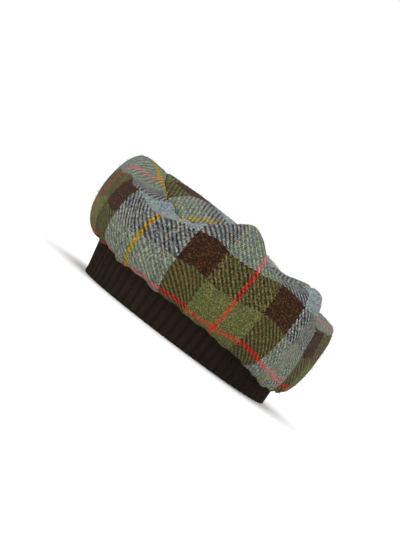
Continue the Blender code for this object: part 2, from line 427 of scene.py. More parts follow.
class BeretSettings(bpy.types.PropertyGroup):
    """All that a user would change."""

    cloth: bpy.props.PointerProperty(type=BeretCloth, name="Cloth", description="Tweed")
    knit: bpy.props.PointerProperty(type=BeretKnit, name="Knit", description="Band")
    studio: bpy.props.PointerProperty(
        type=BeretStudio, name="Studio", description="Camera and light"
    )


def named_rows(columns, rows):
    """The rows of a table, each as a dictionary of its columns."""
    return [dict(zip(columns, row)) for row in rows]


def hat_centre():
    """The middle of the band's lower rim, which the bearings turn about."""
    places = np.array([vertex.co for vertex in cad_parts["knit_band"].data.vertices])
    rim = places[places[:, 2] < places[:, 2].min() + RIM_LAYER]
    return (rim.min(axis=0) + rim.max(axis=0)) / 2


def eased(s, start, end, leaving, arriving):
    """The point at share s of the way from start to end, with the path's slopes at both ends."""
    point = (1 + 2 * s) * (1 - s) ** 2 * start + s * s * (3 - 2 * s) * end
    return point + s * (1 - s) ** 2 * leaving + s * s * (s - 1) * arriving


def smooth_path(points, steps):
    """A Catmull-Rom curve through the points, with this many steps between neighbours."""
    points = np.asarray(points, float)
    before = np.vstack([2 * points[:1] - points[1:2], points[:-1]])
    after = np.vstack([points[1:], 2 * points[-1:] - points[-2:-1]])
    slopes = (after - before) / 2
    path = [
        eased(s, points[i], points[i + 1], slopes[i], slopes[i + 1])
        for i in range(len(points) - 1)
        for s in np.linspace(0.0, 1.0, steps, endpoint=False)
    ]
    return np.array([*path, points[-1]])


def check_shifts(bearings):
    table = dict(zip(CHECK_SHIFT_COLUMNS, smooth_path(CHECK_SHIFT_ROWS, PROFILE_STEPS).T))
    return [np.interp(bearings, table["bearing"], table[name]) for name in ("back", "up")]


def round_values(bearing):
    """The round table's row at a bearing, read from a smooth closed curve through its rows."""
    rows = np.array(ROUND_ROWS, float)
    turn = np.array([360.0] + [0.0] * (rows.shape[1] - 1))
    ring = np.vstack([rows[-2:] - turn, rows, rows[:2] + turn])
    at = (bearing - rows[0, 0]) % 360.0 + rows[0, 0]
    i = int(np.searchsorted(ring[:, 0], at, side="right")) - 1
    start, end = ring[i, 0], ring[i + 1, 0]
    leaving = (ring[i + 1] - ring[i - 1]) / (end - ring[i - 1, 0]) * (end - start)
    arriving = (ring[i + 2] - ring[i]) / (ring[i + 2, 0] - start) * (end - start)
    value = eased((at - start) / (end - start), ring[i], ring[i + 1], leaving, arriving)
    return dict(zip(ROUND_COLUMNS, value))


def band_radius(bearing):
    """Distance from the axis to the band's outer face at its lower rim."""
    angle = math.radians(bearing)
    across = math.sin(angle) / BAND_HALF_WIDTH
    along = math.cos(angle) / BAND_HALF_DEPTH
    return 1.0 / math.hypot(across, along)


def band_spread(bearing, height):
    """How much further out the band's face is at a height than at its lower rim."""
    low, high = UPRIGHT_SHARES
    share = min(max((height / BAND_HEIGHT - low) / (high - low), 0.0), 1.0)
    lean = BAND_LEAN * math.cos(math.radians(bearing - LEAN_BEARING))
    return share * (BAND_FLARE + lean)


def slow_wave(angle, rows):
    """The sum of a table's waves at an angle round the hat."""
    waves = named_rows(WAVE_COLUMNS, rows)
    return sum(wave["size"] * np.sin(wave["waves"] * angle + wave["phase"]) for wave in waves)


def gathers(angle, count):
    """Uneven waves round the hat, from -1 to 1, at angles in radians."""
    deepest = sum(wave["size"] for wave in named_rows(WAVE_COLUMNS, SWELL_ROWS))
    size = 1 - deepest + slow_wave(angle, SWELL_ROWS)
    return size * np.cos(count * angle + slow_wave(angle, DRIFT_ROWS))


def section(bearing):
    """Points (distance from the axis, height) down the tuck, up the side and in over the top."""
    row = round_values(bearing)
    base = band_radius(bearing)
    reach = OVERHANG * row["reach"]
    seam = BAND_HEIGHT + SEAM_GAP
    low = ROLL_HEIGHT * row["roll"]
    crest = CROWN_HEIGHT * row["crest"]
    swell = CROWN_HEIGHT * row["swell"]
    wave = GATHER_DEPTH * gathers(math.radians(bearing), GATHER_COUNT)
    low += ROLL_WAVE * wave
    points = []
    for bend in named_rows(TUCK_COLUMNS, TUCK_ROWS):
        height = seam + bend["fall"] * (low - seam)
        swing = TUCK_WAVE * abs(wave) * max(bend["fall"], 0.0)
        face = base + band_spread(bearing, height)
        points.append((face + TUCK_SPACE * bend["out"] + swing, height))
    for bend in named_rows(SIDE_COLUMNS, SIDE_ROWS):
        ripple = wave * (1 - bend["rise"]) ** 2
        points.append((base + reach * bend["out"] + ripple, low + bend["rise"] * (crest - low)))
    rim = points[-1][0]
    for bend in named_rows(TOP_COLUMNS, TOP_ROWS):
        height = crest + bend["swell"] * (swell - crest)
        height += bend["middle"] * (CROWN_HEIGHT - swell)
        points.append((rim * (1 - bend["inward"]), height))
    return smooth_path(points, PROFILE_STEPS)


def strip_width(lengths):
    """The strip's width at one bearing, from the lengths of cloth along its section."""
    rim = lengths[(len(TUCK_ROWS) + len(SIDE_ROWS) - 1) * PROFILE_STEPS]
    return STRIP_WIDTH + STRIP_SHAPING * (rim + TOP_SETBACK - STRIP_WIDTH)


class Crown:
    """The crown's outer face, measured once round the hat."""

    def __init__(self):
        self.bearings = np.linspace(-180.0, 180.0, CLOTH_COLUMNS + 1)
        self.angles = np.radians(self.bearings)
        self.centre = hat_centre()
        self.paths = [section(bearing) for bearing in self.bearings]
        self.lengths = []
        for path in self.paths:
            steps = np.hypot(*np.diff(path, axis=0).T)
            self.lengths.append(np.concatenate([[0.0], np.cumsum(steps)]))
        self.widths = np.array([strip_width(lengths) for lengths in self.lengths])
        widest = np.array([path[:, 0].max() for path in self.paths])
        line = np.stack([widest * np.sin(self.angles), widest * np.cos(self.angles)], axis=1)
        steps = np.hypot(*np.diff(line, axis=0).T)
        self.round_shares = np.concatenate([[0.0], np.cumsum(steps)]) / steps.sum()

    def grid(self, lengths_of):
        """Places [line, column] on the face, and each one's length along the cloth."""
        lines = np.stack([lengths_of(lengths) for lengths in self.lengths], axis=1)
        places = np.empty((*lines.shape, 3))
        for column, (path, lengths) in enumerate(zip(self.paths, self.lengths)):
            radius = np.interp(lines[:, column], lengths, path[:, 0])
            height = np.interp(lines[:, column], lengths, path[:, 1])
            angle = self.angles[column]
            near_seam = hump(lines[:, column] - self.widths[column], PUCKER_REACH)
            height = height + PUCKER_DEPTH * near_seam * gathers(angle, PUCKER_COUNT)
            places[:, column] = np.stack(
                [radius * math.sin(angle), -radius * math.cos(angle), height], axis=1
            )
        return places + self.centre, lines

    def round_share(self, bearing):
        """How far round the strip a bearing lies, from 0 at one end to 1 at the other."""
        return float(np.interp(bearing, self.bearings, self.round_shares))


def face_normals(places):
    """The outward normal at each place of a grid that closes round the hat."""
    ring = places[:, :-1]
    around = np.roll(ring, -1, axis=1) - np.roll(ring, 1, axis=1)
    along = np.gradient(ring, axis=0)
    normals = np.cross(around, along)
    size = np.linalg.norm(normals, axis=2, keepdims=True)
    flat = size[..., 0] < NO_LENGTH
    normals = normals / np.maximum(size, NO_LENGTH)
    normals[flat] = (0.0, 0.0, 1.0)
    return np.concatenate([normals, normals[:, :1]], axis=1)


def dents(places):
    """Soft unevenness of the cloth at each place, in metres."""
    out = np.zeros(places.shape[:2])
    for wave in named_rows(DENTS_COLUMNS, DENTS_ROWS):
        for line, column in np.ndindex(*out.shape):
            at = Vector(places[line, column] * wave["per_metre"])
            out[line, column] += wave["depth"] * noise.noise(at)
    out[:, -1] = out[:, 0]
    return out


def hump(distance, spread):
    """1 at no distance, falling smoothly to 0."""
    return np.exp(-((distance / spread) ** 2))


def raised(places, lines, crown):
    """The cloth's places with fine gathers, puckers, dents and a dip along each seam."""
    angles = crown.angles
    from_seam = lines - crown.widths
    relief = dents(places) * (1 - hump(lines, DENTS_START))
    fine = FINE_GATHERS
    near = hump(lines - fine["place"], fine["spread"])
    relief += fine["depth"] * near * gathers(angles, fine["count"])
    fine = FINE_PUCKERS
    near = hump(from_seam, fine["spread"])
    relief += fine["depth"] * near * gathers(angles, fine["count"])
    relief -= SEAM_DIP["depth"] * hump(from_seam, SEAM_DIP["spread"])
    if lines[0, 0] < CLOTH_WALL:
        radius = np.linalg.norm((places - crown.centre)[..., :2], axis=2)
        from_back = (math.pi - np.abs(angles)) * radius
        relief -= SEAM_DIP["depth"] * hump(from_back, SEAM_DIP["spread"])
    return places + face_normals(places) * relief[..., None]


def placed(name, data):
    """A new object in the scene."""
    piece = bpy.data.objects.new(name, data)
    bpy.context.scene.collection.objects.link(piece)
    return piece


def placed_mesh(name, sheet):
    """A new object in the scene from an editable mesh, which is freed."""
    mesh = bpy.data.meshes.new(name)
    sheet.to_mesh(mesh)
    sheet.free()
    return placed(name, mesh)


def sewn_sheet(name, places, cloth):
    """A sheet from its places and cloth coordinates by line and column, its ends sewn together."""
    lines, columns = places.shape[0] - 1, places.shape[1] - 1
    sheet = bmesh.new()
    bmesh.ops.create_grid(sheet, x_segments=columns, y_segments=lines, size=0.5)
    place_of = {
        vertex: (round((vertex.co.y + 0.5) * lines), round((vertex.co.x + 0.5) * columns))
        for vertex in sheet.verts
    }
    layer = sheet.loops.layers.uv.new("cloth")
    for face in sheet.faces:
        for loop in face.loops:
            loop[layer].uv = cloth[place_of[loop.vert]]
    for vertex, key in place_of.items():
        vertex.co = places[key]
    bmesh.ops.remove_doubles(sheet, verts=sheet.verts, dist=WELD_DISTANCE)
    piece = placed_mesh(name, sheet)
    piece.data.shade_smooth()
    return piece


def settled(piece):
    """The piece as a plain mesh, with its modifiers applied."""
    graph = bpy.context.evaluated_depsgraph_get()
    mesh = bpy.data.meshes.new_from_object(piece.evaluated_get(graph))
    piece.modifiers.clear()
    piece.data = mesh
    mesh.name = piece.name
    return piece


def walled(piece, wall):
    """The sheet with a wall on its inner side."""
    thickness = piece.modifiers.new("cloth wall", "SOLIDIFY")
    thickness.thickness = wall
    thickness.offset = -1.0
    thickness.use_even_offset = False
    return settled(piece)


class Value:
    """An output of a node. Signs such as + and * make the Math nodes that reckon with it."""

    def __init__(self, tree, socket):
        self.tree = tree
        self.socket = socket

    def to(self, socket):
        """Links the output to an input."""
        self.tree.links.new(self.socket, socket)

    def __add__(self, other):
        return calc(self.tree, "ADD", self, other)

    def __sub__(self, other):
        return calc(self.tree, "SUBTRACT", self, other)

    def __rsub__(self, other):
        return calc(self.tree, "SUBTRACT", other, self)

    def __mul__(self, other):
        return calc(self.tree, "MULTIPLY", self, other)

    def __truediv__(self, other):
        return calc(self.tree, "DIVIDE", self, other)

    def __mod__(self, other):
        return calc(self.tree, "FLOORED_MODULO", self, other)

    def __pow__(self, other):
        return calc(self.tree, "POWER", self, other)

    def __abs__(self):
        return calc(self.tree, "ABSOLUTE", self)

    def __floor__(self):
        return calc(self.tree, "FLOOR", self)


def new_group(name, kind, inputs, outputs):
    """A node group with its inputs as values and its output node's sockets.

    Each input is named with the kind of its socket, or with the number that it starts from.
    """
    tree = bpy.data.node_groups.new(name, kind)
    for label, start in inputs.items():
        socket = "NodeSocket" + SOCKET_OF_NUMBER.get(type(start), str(start))
        made = tree.interface.new_socket(label, in_out="INPUT", socket_type=socket)
        if type(start) in SOCKET_OF_NUMBER:
            made.default_value = start
    for label, socket in outputs.items():
        tree.interface.new_socket(label, in_out="OUTPUT", socket_type="NodeSocket" + socket)
    sockets = tree.nodes.new("NodeGroupInput").outputs
    given = {label: Value(tree, sockets[label]) for label in inputs}
    return tree, given, tree.nodes.new("NodeGroupOutput").inputs


def add_node(tree, kind, inputs=None, **settings):
    """A node with its settings, and its inputs linked or set by name or number."""
    node = tree.nodes.new(kind)
    for name, value in settings.items():
        setattr(node, name, value)
    for key, value in (inputs or {}).items():
        if isinstance(value, Value):
            value.to(node.inputs[key])
        else:
            node.inputs[key].default_value = value
    return node


def output_of(tree, kind, inputs=None, output=0, **settings):
    """One output of a new node, which is the first if no other is asked for."""
    return Value(tree, add_node(tree, kind, inputs, **settings).outputs[output])


def outputs_of(tree, kind, inputs=None, **settings):
    """All the outputs of a new node, in order."""
    return [Value(tree, socket) for socket in add_node(tree, kind, inputs, **settings).outputs]


def calc(tree, operation, *values):
    """The result of a Math node."""
    return output_of(tree, "ShaderNodeMath", dict(enumerate(values)), operation=operation)


def mixed(tree, share, first, second, blend="MIX"):
    """The result of a colour Mix node."""
    inputs = {0: share, 6: first, 7: second}
    return output_of(tree, "ShaderNodeMix", inputs, 2, data_type="RGBA", blend_type=blend)


def ramp(tree, value, low, high):
    """0 at low, 1 at high and smooth between."""
    inputs = {"Value": value, "From Min": low, "From Max": high}
    return output_of(tree, "ShaderNodeMapRange", inputs, interpolation_type="SMOOTHSTEP")


def noise_of(tree, place, scale, detail=2.0, roughness=0.5):
    """A noise texture as a number and as a colour."""
    inputs = {"Vector": place, "Scale": scale, "Detail": detail, "Roughness": roughness}
    return outputs_of(tree, "ShaderNodeTexNoise", inputs)


def sett_group(yarns):
    """Node group: the colours of a thread's yarn, by the thread's number."""
    outputs = {label: "Color" for label in YARN_COLOURS}
    tree, given, result = new_group("tweed_sett", "ShaderNodeTree", {"Thread": 0.0}, outputs)
    place = (given["Thread"] % SETT_THREADS + 0.5) / SETT_THREADS
    for label, colours in zip(YARN_COLOURS, yarns):
        stripes = add_node(tree, "ShaderNodeValToRGB", {"Fac": place})
        stripes.color_ramp.interpolation = "CONSTANT"
        stops = stripes.color_ramp.elements
        start = 0
        for number, (yarn, threads) in enumerate(SETT):
            at = start / SETT_THREADS
            stop = stops[0] if number == 0 else stops.new(at)
            stop.position = at
            stop.color = (*colours[yarn], 1.0)
            start += threads
        stops.remove(stops[-1])
        Value(tree, stripes.outputs["Color"]).to(result[label])
    return tree


def heather_group():
    """Node group: a yarn's colour with light and dark flecks of other wool."""
    inputs = {label: "Color" for label in YARN_COLOURS}
    inputs |= {"Place": "Vector", "Cell": "Vector", "Fleck Scale": 800.0, "Hue Change": 2.4}
    outputs = {"Colour": "Color"}
    tree, given, result = new_group("wool_heather", "ShaderNodeTree", inputs, outputs)
    look = HEATHER
    place, scale = given["Place"], given["Fleck Scale"]
    grain, _ = noise_of(tree, place, scale, look["detail"], look["roughness"])
    chance = output_of(tree, "ShaderNodeTexWhiteNoise", {"Vector": given["Cell"]})
    fleck = grain * look["grain"] + chance * look["chance"]
    colour = mixed(tree, ramp(tree, fleck, *look["light"]), given["Yarn"], given["Light Fleck"])
    colour = mixed(tree, ramp(tree, fleck, *look["dark"]), colour, given["Dark Fleck"])
    _, dye = noise_of(tree, place, scale * look["finer"])
    parts = outputs_of(tree, "ShaderNodeSeparateColor", {"Color": dye})
    shares = [(part - 0.5) * given["Hue Change"] + 1.0 for part in parts]
    tint = output_of(tree, "ShaderNodeCombineXYZ", dict(zip("XYZ", shares)))
    mixed(tree, 1.0, colour, tint, "MULTIPLY").to(result["Colour"])
    return tree


def twill_group(sett, heather):
    """Node group: the check woven in a two-and-two twill, from a place on the flat cloth, with
    painted shade that darkens the hollows between the threads and lightens their crowns.
    """
    inputs = {
        "Place": "Vector",
        "Thread Pitch": 0.00116,
        "First Column": 0.0,
        "First Row": 0.0,
        "Waver": 0.25,
        "Contrast": 0.75,
        "Hollow Shade": 0.42,
        "Crown Shade": 1.30,
    }
    outputs = {"Colour": "Color", "Height": "Float"}
    tree, given, result = new_group("checked_twill", "ShaderNodeTree", inputs, outputs)
    look = TWILL
    half_repeat = look["repeat"] / 2
    waver, drift = noise_of(tree, given["Place"], look["waver_scale"])
    drift = outputs_of(tree, "ShaderNodeSeparateColor", {"Color": drift})
    place = outputs_of(tree, "ShaderNodeSeparateXYZ", {"Vector": given["Place"]})
    column, row = (
        place[axis] / given["Thread Pitch"]
        + given[label]
        + (drift[axis] - 0.5) * given["Waver"] * look["waver_reach"]
        for axis, label in enumerate(("First Column", "First Row"))
    )
    whole_column, whole_row = math.floor(column), math.floor(row)
    step = (whole_column + whole_row) % look["repeat"]
    column_up = calc(tree, "LESS_THAN", step, half_repeat - 0.5)
    cell = output_of(tree, "ShaderNodeCombineXYZ", {"X": whole_column, "Y": whole_row})
    chance = output_of(tree, "ShaderNodeTexWhiteNoise", {"Vector": cell})
    shown = (column_up - 0.5) * given["Contrast"] + waver + (chance - 0.5) * look["chance"]
    up, flat = (
        outputs_of(tree, "ShaderNodeGroup", {"Thread": thread}, node_tree=sett)
        for thread in (whole_column, whole_row)
    )
    spun = {"Place": given["Place"], "Cell": cell}
    for label, column_yarn, row_yarn in zip(YARN_COLOURS, up, flat):
        spun[label] = mixed(tree, shown, row_yarn, column_yarn)
    wool = output_of(tree, "ShaderNodeGroup", spun, node_tree=heather)
    heights = []
    for own, whole, crossing in ((column, whole_column, row), (row, whole_row, column)):
        side = calc(tree, "FRACT", own) * 2.0 - 1.0
        run = (whole + crossing) % half_repeat
        fall = abs(run - half_repeat / 2) ** look["sharpness"]
        heights.append((1.0 - side * side) * (1.0 - fall * look["drop"]))
    column_height, row_height = heights
    height = row_height + (column_height - row_height) * column_up
    # Painted shade: the colour is multiplied by a factor that rises with the threads' height, dark
    # in the hollows between threads and light on their crowns
    shade = given["Hollow Shade"] + height * (given["Crown Shade"] - given["Hollow Shade"])
    mixed(tree, 1.0, wool, shade, "MULTIPLY").to(result["Colour"])
    height.to(result["Height"])
    return tree


def cloth_starts(crown, cloth):
    """The strip's length and its first thread numbers, which place its lines as the photo does."""
    round_length = CHECKS_ROUND * SETT_THREADS * cloth.thread_pitch
    yellow = crown.round_share(math.degrees(cloth.yellow_bearing)) * round_length
    first_column = YELLOW_MIDDLE - yellow / cloth.thread_pitch
    first_row = RED_MIDDLE - cloth.red_row / cloth.thread_pitch
    return round_length, first_column, first_row


def tweed_group(cloth):
    """The tweed's node group, made once and then found again."""
    found = bpy.data.node_groups.get("checked_twill")
    if found:
        return found
    yarns = {name: getattr(cloth, name) for name in FLECKS}
    light, dark = ({name: flecks[kind] for name, flecks in FLECKS.items()} for kind in (0, 1))
    return twill_group(sett_group((yarns, light, dark)), heather_group())


def new_finish(name, values):
    """A material whose shader has these constant values, its node tree and its shader's inputs."""
    finish = bpy.data.materials.new(name)
    finish.use_nodes = True
    shader = finish.node_tree.nodes["Principled BSDF"].inputs
    for label, value in values.items():
        shader[label].default_value = value
    return finish, finish.node_tree, shader


def add_bump(tree, shader, height, strength, distance):
    """Raises a finish by a height."""
    inputs = {"Strength": strength, "Distance": distance, "Height": height}
    output_of(tree, "ShaderNodeBump", inputs).to(shader["Normal"])


def tweed_material(name, cloth, starts, raised_threads=True):
    """The tweed: checked twill with a soft wool sheen."""
    finish, tree, shader = new_finish(name, TWEED_FINISH)
    inputs = {
        "Place": output_of(tree, "ShaderNodeAttribute", output="Vector", attribute_name="cloth"),
        "Thread Pitch": cloth.thread_pitch,
        "First Column": starts[0],
        "First Row": starts[1],
    }
    colour, height = outputs_of(tree, "ShaderNodeGroup", inputs, node_tree=tweed_group(cloth))
    colour.to(shader["Base Color"])
    if raised_threads:
        add_bump(tree, shader, height, *TWEED_BUMP)
    return finish


def stray_material(colour):
    """The wool of the loose fibres on the band."""
    finish, tree, shader = new_finish("stray_wool", STRAY_FINISH)
    place = output_of(tree, "ShaderNodeTexCoord", output="Object")
    grain, _ = noise_of(tree, place, STRAY_WOOL["scale"])
    dull = tuple(value * STRAY_WOOL["dull"] for value in colour)
    share = ramp(tree, grain, *STRAY_WOOL["shades"])
    mixed(tree, share, (*dull, 1.0), (*colour, 1.0)).to(shader["Base Color"])
    return finish


def rib_group(centre):
    """Node group: how near a place on the band is to a groove, and to a line between stitches, as
    masks for the band's painted shade.
    """
    inputs = {"Place": "Vector", "Ribs": float(RIB_COUNT)}
    outputs = {"Groove": "Float", "Stitch Line": "Float"}
    tree, given, result = new_group("rib_grooves", "ShaderNodeTree", inputs, outputs)
    sides = {0: given["Place"], 1: tuple(centre)}
    place = output_of(tree, "ShaderNodeVectorMath", sides, operation="SUBTRACT")
    x, y, _ = outputs_of(tree, "ShaderNodeSeparateXYZ", {"Vector": place})
    turn = calc(tree, "ARCTAN2", x / BAND_HALF_WIDTH, y / -BAND_HALF_DEPTH) + math.pi
    rib = turn / (2 * math.pi) * given["Ribs"] - RIB_MIDDLE / STITCHES_PER_RIB
    stitch = rib * STITCHES_PER_RIB
    for label, count, look in (("Groove", rib, "groove"), ("Stitch Line", stitch, "line")):
        away = abs(calc(tree, "FRACT", count) - 0.5)
        ramp(tree, away, *KNIT_WOOL[look]).to(result[label])
    return tree


def knit_material(knit, centre):
    """The band's dark wool, with lighter and darker fibres spun in, and painted shade that darkens
    it between the ribs and between the stitches.
    """
    finish, tree, shader = new_finish("brown_rib_knit", KNIT_FINISH)
    look = KNIT_WOOL
    place = output_of(tree, "ShaderNodeTexCoord", output="Object")
    grain, _ = noise_of(tree, place, look["grain_scale"], look["grain_detail"])
    patches, _ = noise_of(tree, place, look["patch_scale"])
    shades = {
        name: (*(own * share for own, share in zip(knit.colour, shares)), 1.0)
        for name, shares in KNIT_SHADES.items()
    }
    colour = (*knit.colour, 1.0)
    for name, source in (("lighter", grain), ("darker", grain), ("worn", patches)):
        colour = mixed(tree, ramp(tree, source, *look[name]), colour, shades[name])
    ribs = rib_group(centre)
    groove, line = outputs_of(tree, "ShaderNodeGroup", {"Place": place}, node_tree=ribs)
    # Painted shade: the wool is darkened in the grooves between ribs and on the lines between
    # stitch columns
    depth = calc(tree, "MAXIMUM", groove * look["groove_share"], line * look["line_share"])
    mixed(tree, depth, colour, shades["painted_groove_shade"]).to(shader["Base Color"])
    add_bump(tree, shader, grain, *KNIT_BUMP)
    return finish


def rib_relief(stitch):
    """The knit's relief at a place counted in stitch columns, and how fully a rib stands there."""
    half = STITCHES_PER_RIB / 2
    away = abs((stitch - RIB_MIDDLE + half) % STITCHES_PER_RIB - half)
    share = min(max((RIB_FOOT - away) / (RIB_FOOT - RIB_FLAT), 0.0), 1.0)
    stands = share * share * (3 - 2 * share)
    dip = 0.5 * (1 - math.cos(2 * math.pi * (stitch - round(stitch))))
    dip *= COLUMN_DIP * (GROOVE_DIP + (1 - GROOVE_DIP) * stands)
    return -KNIT_GROOVE * (1 - stands) - dip, stands


def band_ring(columns, shift=0.0):
    """The place on the band's lower rim, the bearing and the distance from the axis, by column."""
    for column in range(columns + 1):
        turn = 2 * math.pi * (column + shift) / columns - math.pi
        x, y = BAND_HALF_WIDTH * math.sin(turn), -BAND_HALF_DEPTH * math.cos(turn)
        yield column, x, y, math.degrees(math.atan2(x, -y)), math.hypot(x, y)


def band_places(centre):
    """Places and cloth coordinates of the knit, by line and column."""
    columns = RIB_COUNT * STITCHES_PER_RIB * KNIT_POINTS
    even = np.linspace(2 * EDGE_HEIGHT, BAND_HEIGHT - STITCH_MARGIN, KNIT_ROWS)
    heights = [*EDGE_ROWS, EDGE_HEIGHT, *even, BAND_HEIGHT]
    places = np.empty((len(heights), columns + 1, 3))
    cloth = np.empty((len(heights), columns + 1, 2))
    for column, x, y, bearing, base in band_ring(columns):
        relief, stands = rib_relief(column / KNIT_POINTS)
        for line, height in enumerate(heights):
            rounding = EDGE_ROUNDING * max(0.0, 1 - height / EDGE_HEIGHT) ** 2
            lift = GROOVE_LIFT * (1 - stands) * max(0.0, 1 - height / GROOVE_LIFT_HEIGHT)
            out = 1.0 + (relief - rounding + band_spread(bearing, height)) / base
            places[line, column] = (x * out, y * out, height + lift)
            cloth[line, column] = (column / columns, height)
    return places + centre, cloth


def stitch_grid(centre, knit):
    """A square for each stitch, on the band's outer face. Its kind is 0 for knit, 1 for purl."""
    columns = RIB_COUNT * STITCHES_PER_RIB
    lines = int((BAND_HEIGHT - 2 * STITCH_MARGIN) / knit.stitch_height)
    places = np.empty((lines + 1, columns + 1, 3))
    for column, x, y, bearing, base in band_ring(columns, -0.5):
        for line in range(lines + 1):
            height = STITCH_MARGIN + line * knit.stitch_height
            out = 1.0 + band_spread(bearing, height) / base
            places[line, column] = (x * out, y * out, height)
    cloth = np.zeros((lines + 1, columns + 1, 2))
    grid = sewn_sheet("stitch_places", places + centre, cloth)
    kinds = grid.data.attributes.new("purl", "FLOAT", "FACE")
    for face, kind in zip(grid.data.polygons, kinds.data):
        place = face.center - Vector(centre)
        turn = math.atan2(place.x / BAND_HALF_WIDTH, -place.y / BAND_HALF_DEPTH)
        column = round((turn + math.pi) / (2 * math.pi) * columns) % STITCHES_PER_RIB
        kind.value = float(column >= STITCHES_PER_RIB // 2)
    return grid


def set_inputs(modifier, values):
    """Sets a Geometry Nodes modifier's inputs by name, through their sockets' identifiers."""
    for item in modifier.node_group.interface.items_tree:
        if item.item_type == "SOCKET" and item.in_out == "INPUT" and item.name in values:
            modifier[item.identifier] = values[item.name]


def grown(name, source, tree, values):
    """A plain mesh from a Geometry Nodes tree on a copy of the source's mesh."""
    piece = placed(name, source.data.copy())
    modifier = piece.modifiers.new(name, "NODES")
    modifier.node_group = tree
    set_inputs(modifier, values)
    return settled(piece)


def lay_on_floor(piece):
    """Bends what would reach under the floor back onto it."""
    for vertex in piece.data.vertices:
        vertex.co.z = max(vertex.co.z, FIBRE_REST)


def end_tree(tree, geometry, wool, result):
    """Ends a Geometry Nodes tree with real geometry in its own wool."""
    real = output_of(tree, "GeometryNodeRealizeInstances", {"Geometry": geometry})
    final = output_of(tree, "GeometryNodeSetMaterial", {"Geometry": real, "Material": wool})
    final.to(result["Geometry"])


def stored(tree, name, kind):
    """A named attribute of the geometry."""
    return output_of(tree, "GeometryNodeInputNamedAttribute", {"Name": name}, data_type=kind)


def turned(tree, rotation, turn):
    """A rotation with a further turn about its own axes."""
    inputs = {"Rotation": rotation, "Rotate By": turn}
    return output_of(tree, "FunctionNodeRotateRotation", inputs, rotation_space="LOCAL")


def stitches_tree(name):
    """Geometry Nodes: two slanting legs for a knit stitch, or one low bar for a purl stitch."""
    kind = STITCH_KINDS[name]
    inputs = {
        "Geometry": "Geometry",
        "Stitch Width": 0.0019,
        "Stitch Height": 0.0015,
        "Yarn Width": 0.00085,
        "Slant": 0.42,
        "Purl Depth": 0.0009,
        "Wool": "Material",
    }
    outputs = {"Geometry": "Geometry"}
    tree, given, result = new_group(name, "GeometryNodeTree", inputs, outputs)
    align = "FunctionNodeAlignRotationToVector"
    normal = output_of(tree, "GeometryNodeInputNormal")
    outward = output_of(tree, align, {"Vector": normal}, axis="Z")
    upward = {"Rotation": outward, "Vector": (0.0, 0.0, 1.0)}
    upright = output_of(tree, align, upward, axis="Y", pivot_axis="Z")
    squares = output_of(
        tree,
        "GeometryNodeStoreNamedAttribute",
        {"Geometry": given["Geometry"], "Name": "facing", "Value": upright},
        data_type="QUATERNION",
        domain="FACE",
    )
    points = output_of(tree, "GeometryNodeMeshToPoints", {"Mesh": squares}, mode="FACES")
    facing = stored(tree, "facing", "QUATERNION")
    purl = {0: stored(tree, "purl", "FLOAT"), 1: 0.5}
    chosen = output_of(tree, "FunctionNodeCompare", purl, operation=kind["chosen"])
    bead = output_of(tree, "GeometryNodeMeshUVSphere", BEAD)
    bead = output_of(tree, "GeometryNodeSetShadeSmooth", {"Geometry": bead})
    size = {axis: given[label] * share for axis, (label, share) in kind["size"].items()}
    size = output_of(tree, "ShaderNodeCombineXYZ", size)
    joined = tree.nodes.new("GeometryNodeJoinGeometry")
    for aside, lean in kind["legs"]:
        offset = {"X": given["Stitch Width"] * aside, "Z": given["Purl Depth"] * kind["out"]}
        offset = {"Vector": output_of(tree, "ShaderNodeCombineXYZ", offset), "Rotation": facing}
        offset = output_of(tree, "FunctionNodeRotateVector", offset)
        moved = {"Geometry": points, "Selection": chosen, "Offset": offset}
        tilt = output_of(tree, "ShaderNodeCombineXYZ", {"Z": given["Slant"] * lean})
        legs = {
            "Points": output_of(tree, "GeometryNodeSetPosition", moved),
            "Selection": chosen,
            "Instance": bead,
            "Rotation": turned(tree, facing, tilt),
            "Scale": size,
        }
        output_of(tree, "GeometryNodeInstanceOnPoints", legs).to(joined.inputs[0])
    end_tree(tree, Value(tree, joined.outputs[0]), given["Wool"], result)
    return tree


def fuzz_tree():
    """Geometry Nodes: short bent fibres scattered over a cloth, made once and then found again."""
    name = "wool_fuzz"
    found = bpy.data.node_groups.get(name)
    if found:
        return found
    inputs = {
        "Geometry": "Geometry",
        "Density": 60000.0,
        "Length": 0.0022,
        "Thickness": 0.00006,
        "Seed": 3,
        "Wool": "Material",
    }
    outputs = {"Geometry": "Geometry"}
    tree, given, result = new_group(name, "GeometryNodeTree", inputs, outputs)
    scatter = {"Mesh": given["Geometry"], "Density": given["Density"], "Seed": given["Seed"]}
    points, _, rotation = outputs_of(
        tree, "GeometryNodeDistributePointsOnFaces", scatter, distribute_method="RANDOM"
    )
    turn = {0: tuple(-limit for limit in FIBRE_TURN), 1: FIBRE_TURN, 8: given["Seed"]}
    turn = output_of(tree, "FunctionNodeRandomValue", turn, data_type="FLOAT_VECTOR")
    size = {2: FIBRE_SIZES[0], 3: FIBRE_SIZES[1], 8: SIZE_SEED}
    size = output_of(tree, "FunctionNodeRandomValue", size, 1, data_type="FLOAT")
    ring = {"Resolution": FIBRE_SIDES, "Radius": given["Thickness"] / given["Length"]}
    fibre = {
        "Curve": output_of(tree, "GeometryNodeCurveQuadraticBezier", FIBRE_BEND),
        "Profile Curve": output_of(tree, "GeometryNodeCurvePrimitiveCircle", ring),
        "Fill Caps": True,
    }
    fibres = {
        "Points": points,
        "Instance": output_of(tree, "GeometryNodeCurveToMesh", fibre),
        "Rotation": turned(tree, rotation, turn),
        "Scale": given["Length"] * size,
    }
    fibres = output_of(tree, "GeometryNodeInstanceOnPoints", fibres)
    end_tree(tree, fibres, given["Wool"], result)
    return tree


def fuzz(name, source, density, length):
    """Loose fibres on a sheet."""
    values = {"Density": density, "Length": length, "Seed": SEEDS[name]}
    return grown(name, source, fuzz_tree(), values)


def finish_piece(piece, material):
    """Gives the piece its finish and fastens it to the hat."""
    piece.data.materials.clear()
    piece.data.materials.append(material)
    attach(piece, "root")


